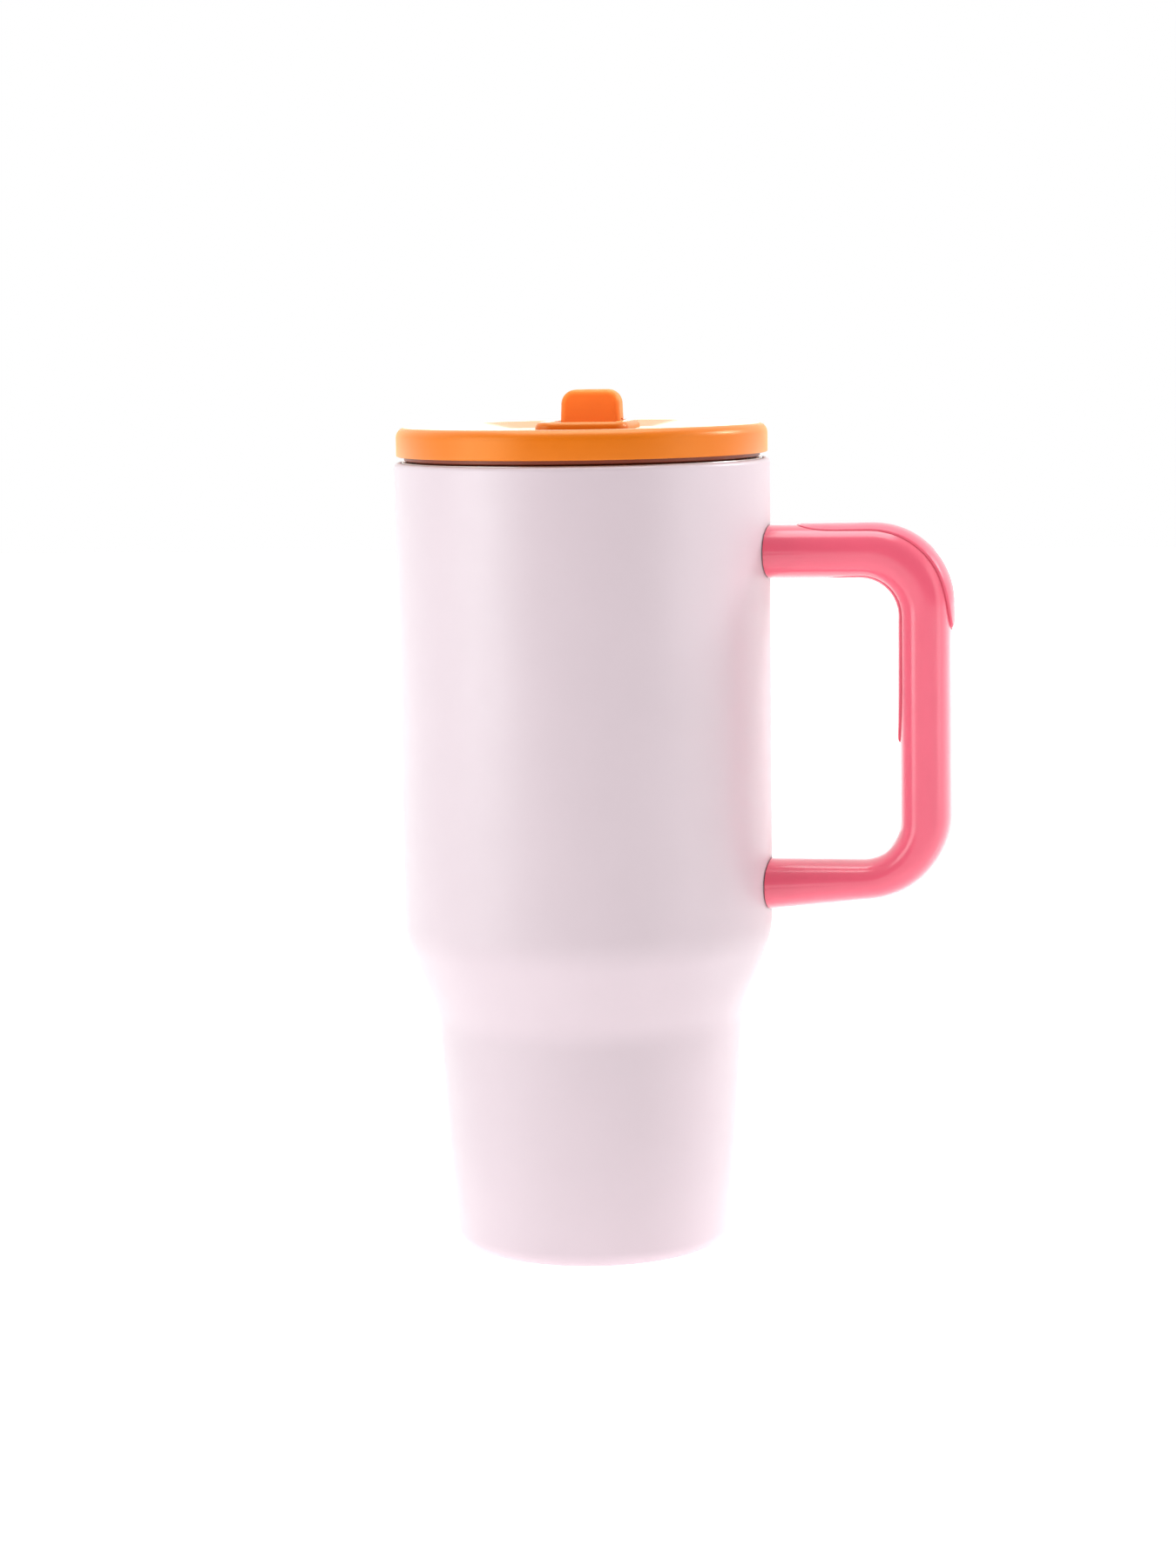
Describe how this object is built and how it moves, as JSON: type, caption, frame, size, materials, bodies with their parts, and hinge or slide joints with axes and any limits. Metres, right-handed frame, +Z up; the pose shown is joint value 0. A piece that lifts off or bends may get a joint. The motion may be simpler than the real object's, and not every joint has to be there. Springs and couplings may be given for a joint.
{
  "type": "insulated tumbler with lid",
  "caption": "Tall double-wall steel tumbler with a cup-holder base, a side handle and a push-in lid with a flip-up straw spout.",
  "frame": {"origin": "centre of the round foot pad's underside, the face that the tumbler stands on", "axes": "+Z up along the tumbler's axis, +X from the axis towards the handle, the spout stands on the +Y side of the lid and folds towards -Y"},
  "size_m": [0.1504, 0.101, 0.2323],
  "materials": {
    "powder_coat": "fine-textured satin powder coat, pale lilac pink",
    "liner_steel": "electropolished stainless steel",
    "hidden_steel": "plain stainless sheet",
    "screw_steel": "plated machine screw",
    "getter_metal": "sintered dark metal",
    "foot_rubber": "matte silicone",
    "handle_plastic": "satin-gloss moulded polypropylene, coral pink",
    "grip_rubber": "soft-touch rubber, coral pink",
    "lid_plastic": "satin moulded polypropylene, orange",
    "lid_inner_plastic": "smooth moulded polypropylene, dark red brown",
    "spout_silicone": "slightly translucent soft silicone, red orange",
    "seal_silicone": "translucent white silicone",
    "straw_plastic": "milky polypropylene"
  },
  "bodies": {
    "tumbler": {"outer_shell": "powder_coat", "inner_liner": "liner_steel", "vacuum_base_plate": "hidden_steel", "vacuum_seal_bead": "getter_metal", "getter": "getter_metal", "base_cover": "hidden_steel", "foot_pad": "foot_rubber", "handle": "handle_plastic", "handle_grip_outer": "grip_rubber", "handle_grip_inner": "grip_rubber", "handle_bracket_upper": "hidden_steel", "handle_bracket_lower": "hidden_steel", "handle_screw_upper": "screw_steel", "handle_screw_lower": "screw_steel", "handle_screw_cap": "grip_rubber"},
    "lid": {"lid_cover": "lid_plastic", "lid_base": "lid_inner_plastic", "lid_gasket": "seal_silicone", "spout_housing": "lid_plastic", "spout_seal": "seal_silicone", "port_seal": "seal_silicone", "straw_adapter": "seal_silicone", "straw": "straw_plastic", "vent_valve": "seal_silicone"},
    "spout": {"spout_core": "lid_plastic", "mouthpiece": "spout_silicone"}
  },
  "joints": [
    {"name": "lid_lift", "type": "slide", "parent": "tumbler", "child": "lid", "axis": [0, 0, 1], "range_m": [0, 0.215]},
    {"name": "spout_flip", "type": "hinge", "parent": "lid", "child": "spout", "pos_m": [0, 0.018, 0.2194], "axis": [1, 0, 0], "range_deg": [0, 90]}
  ]
}
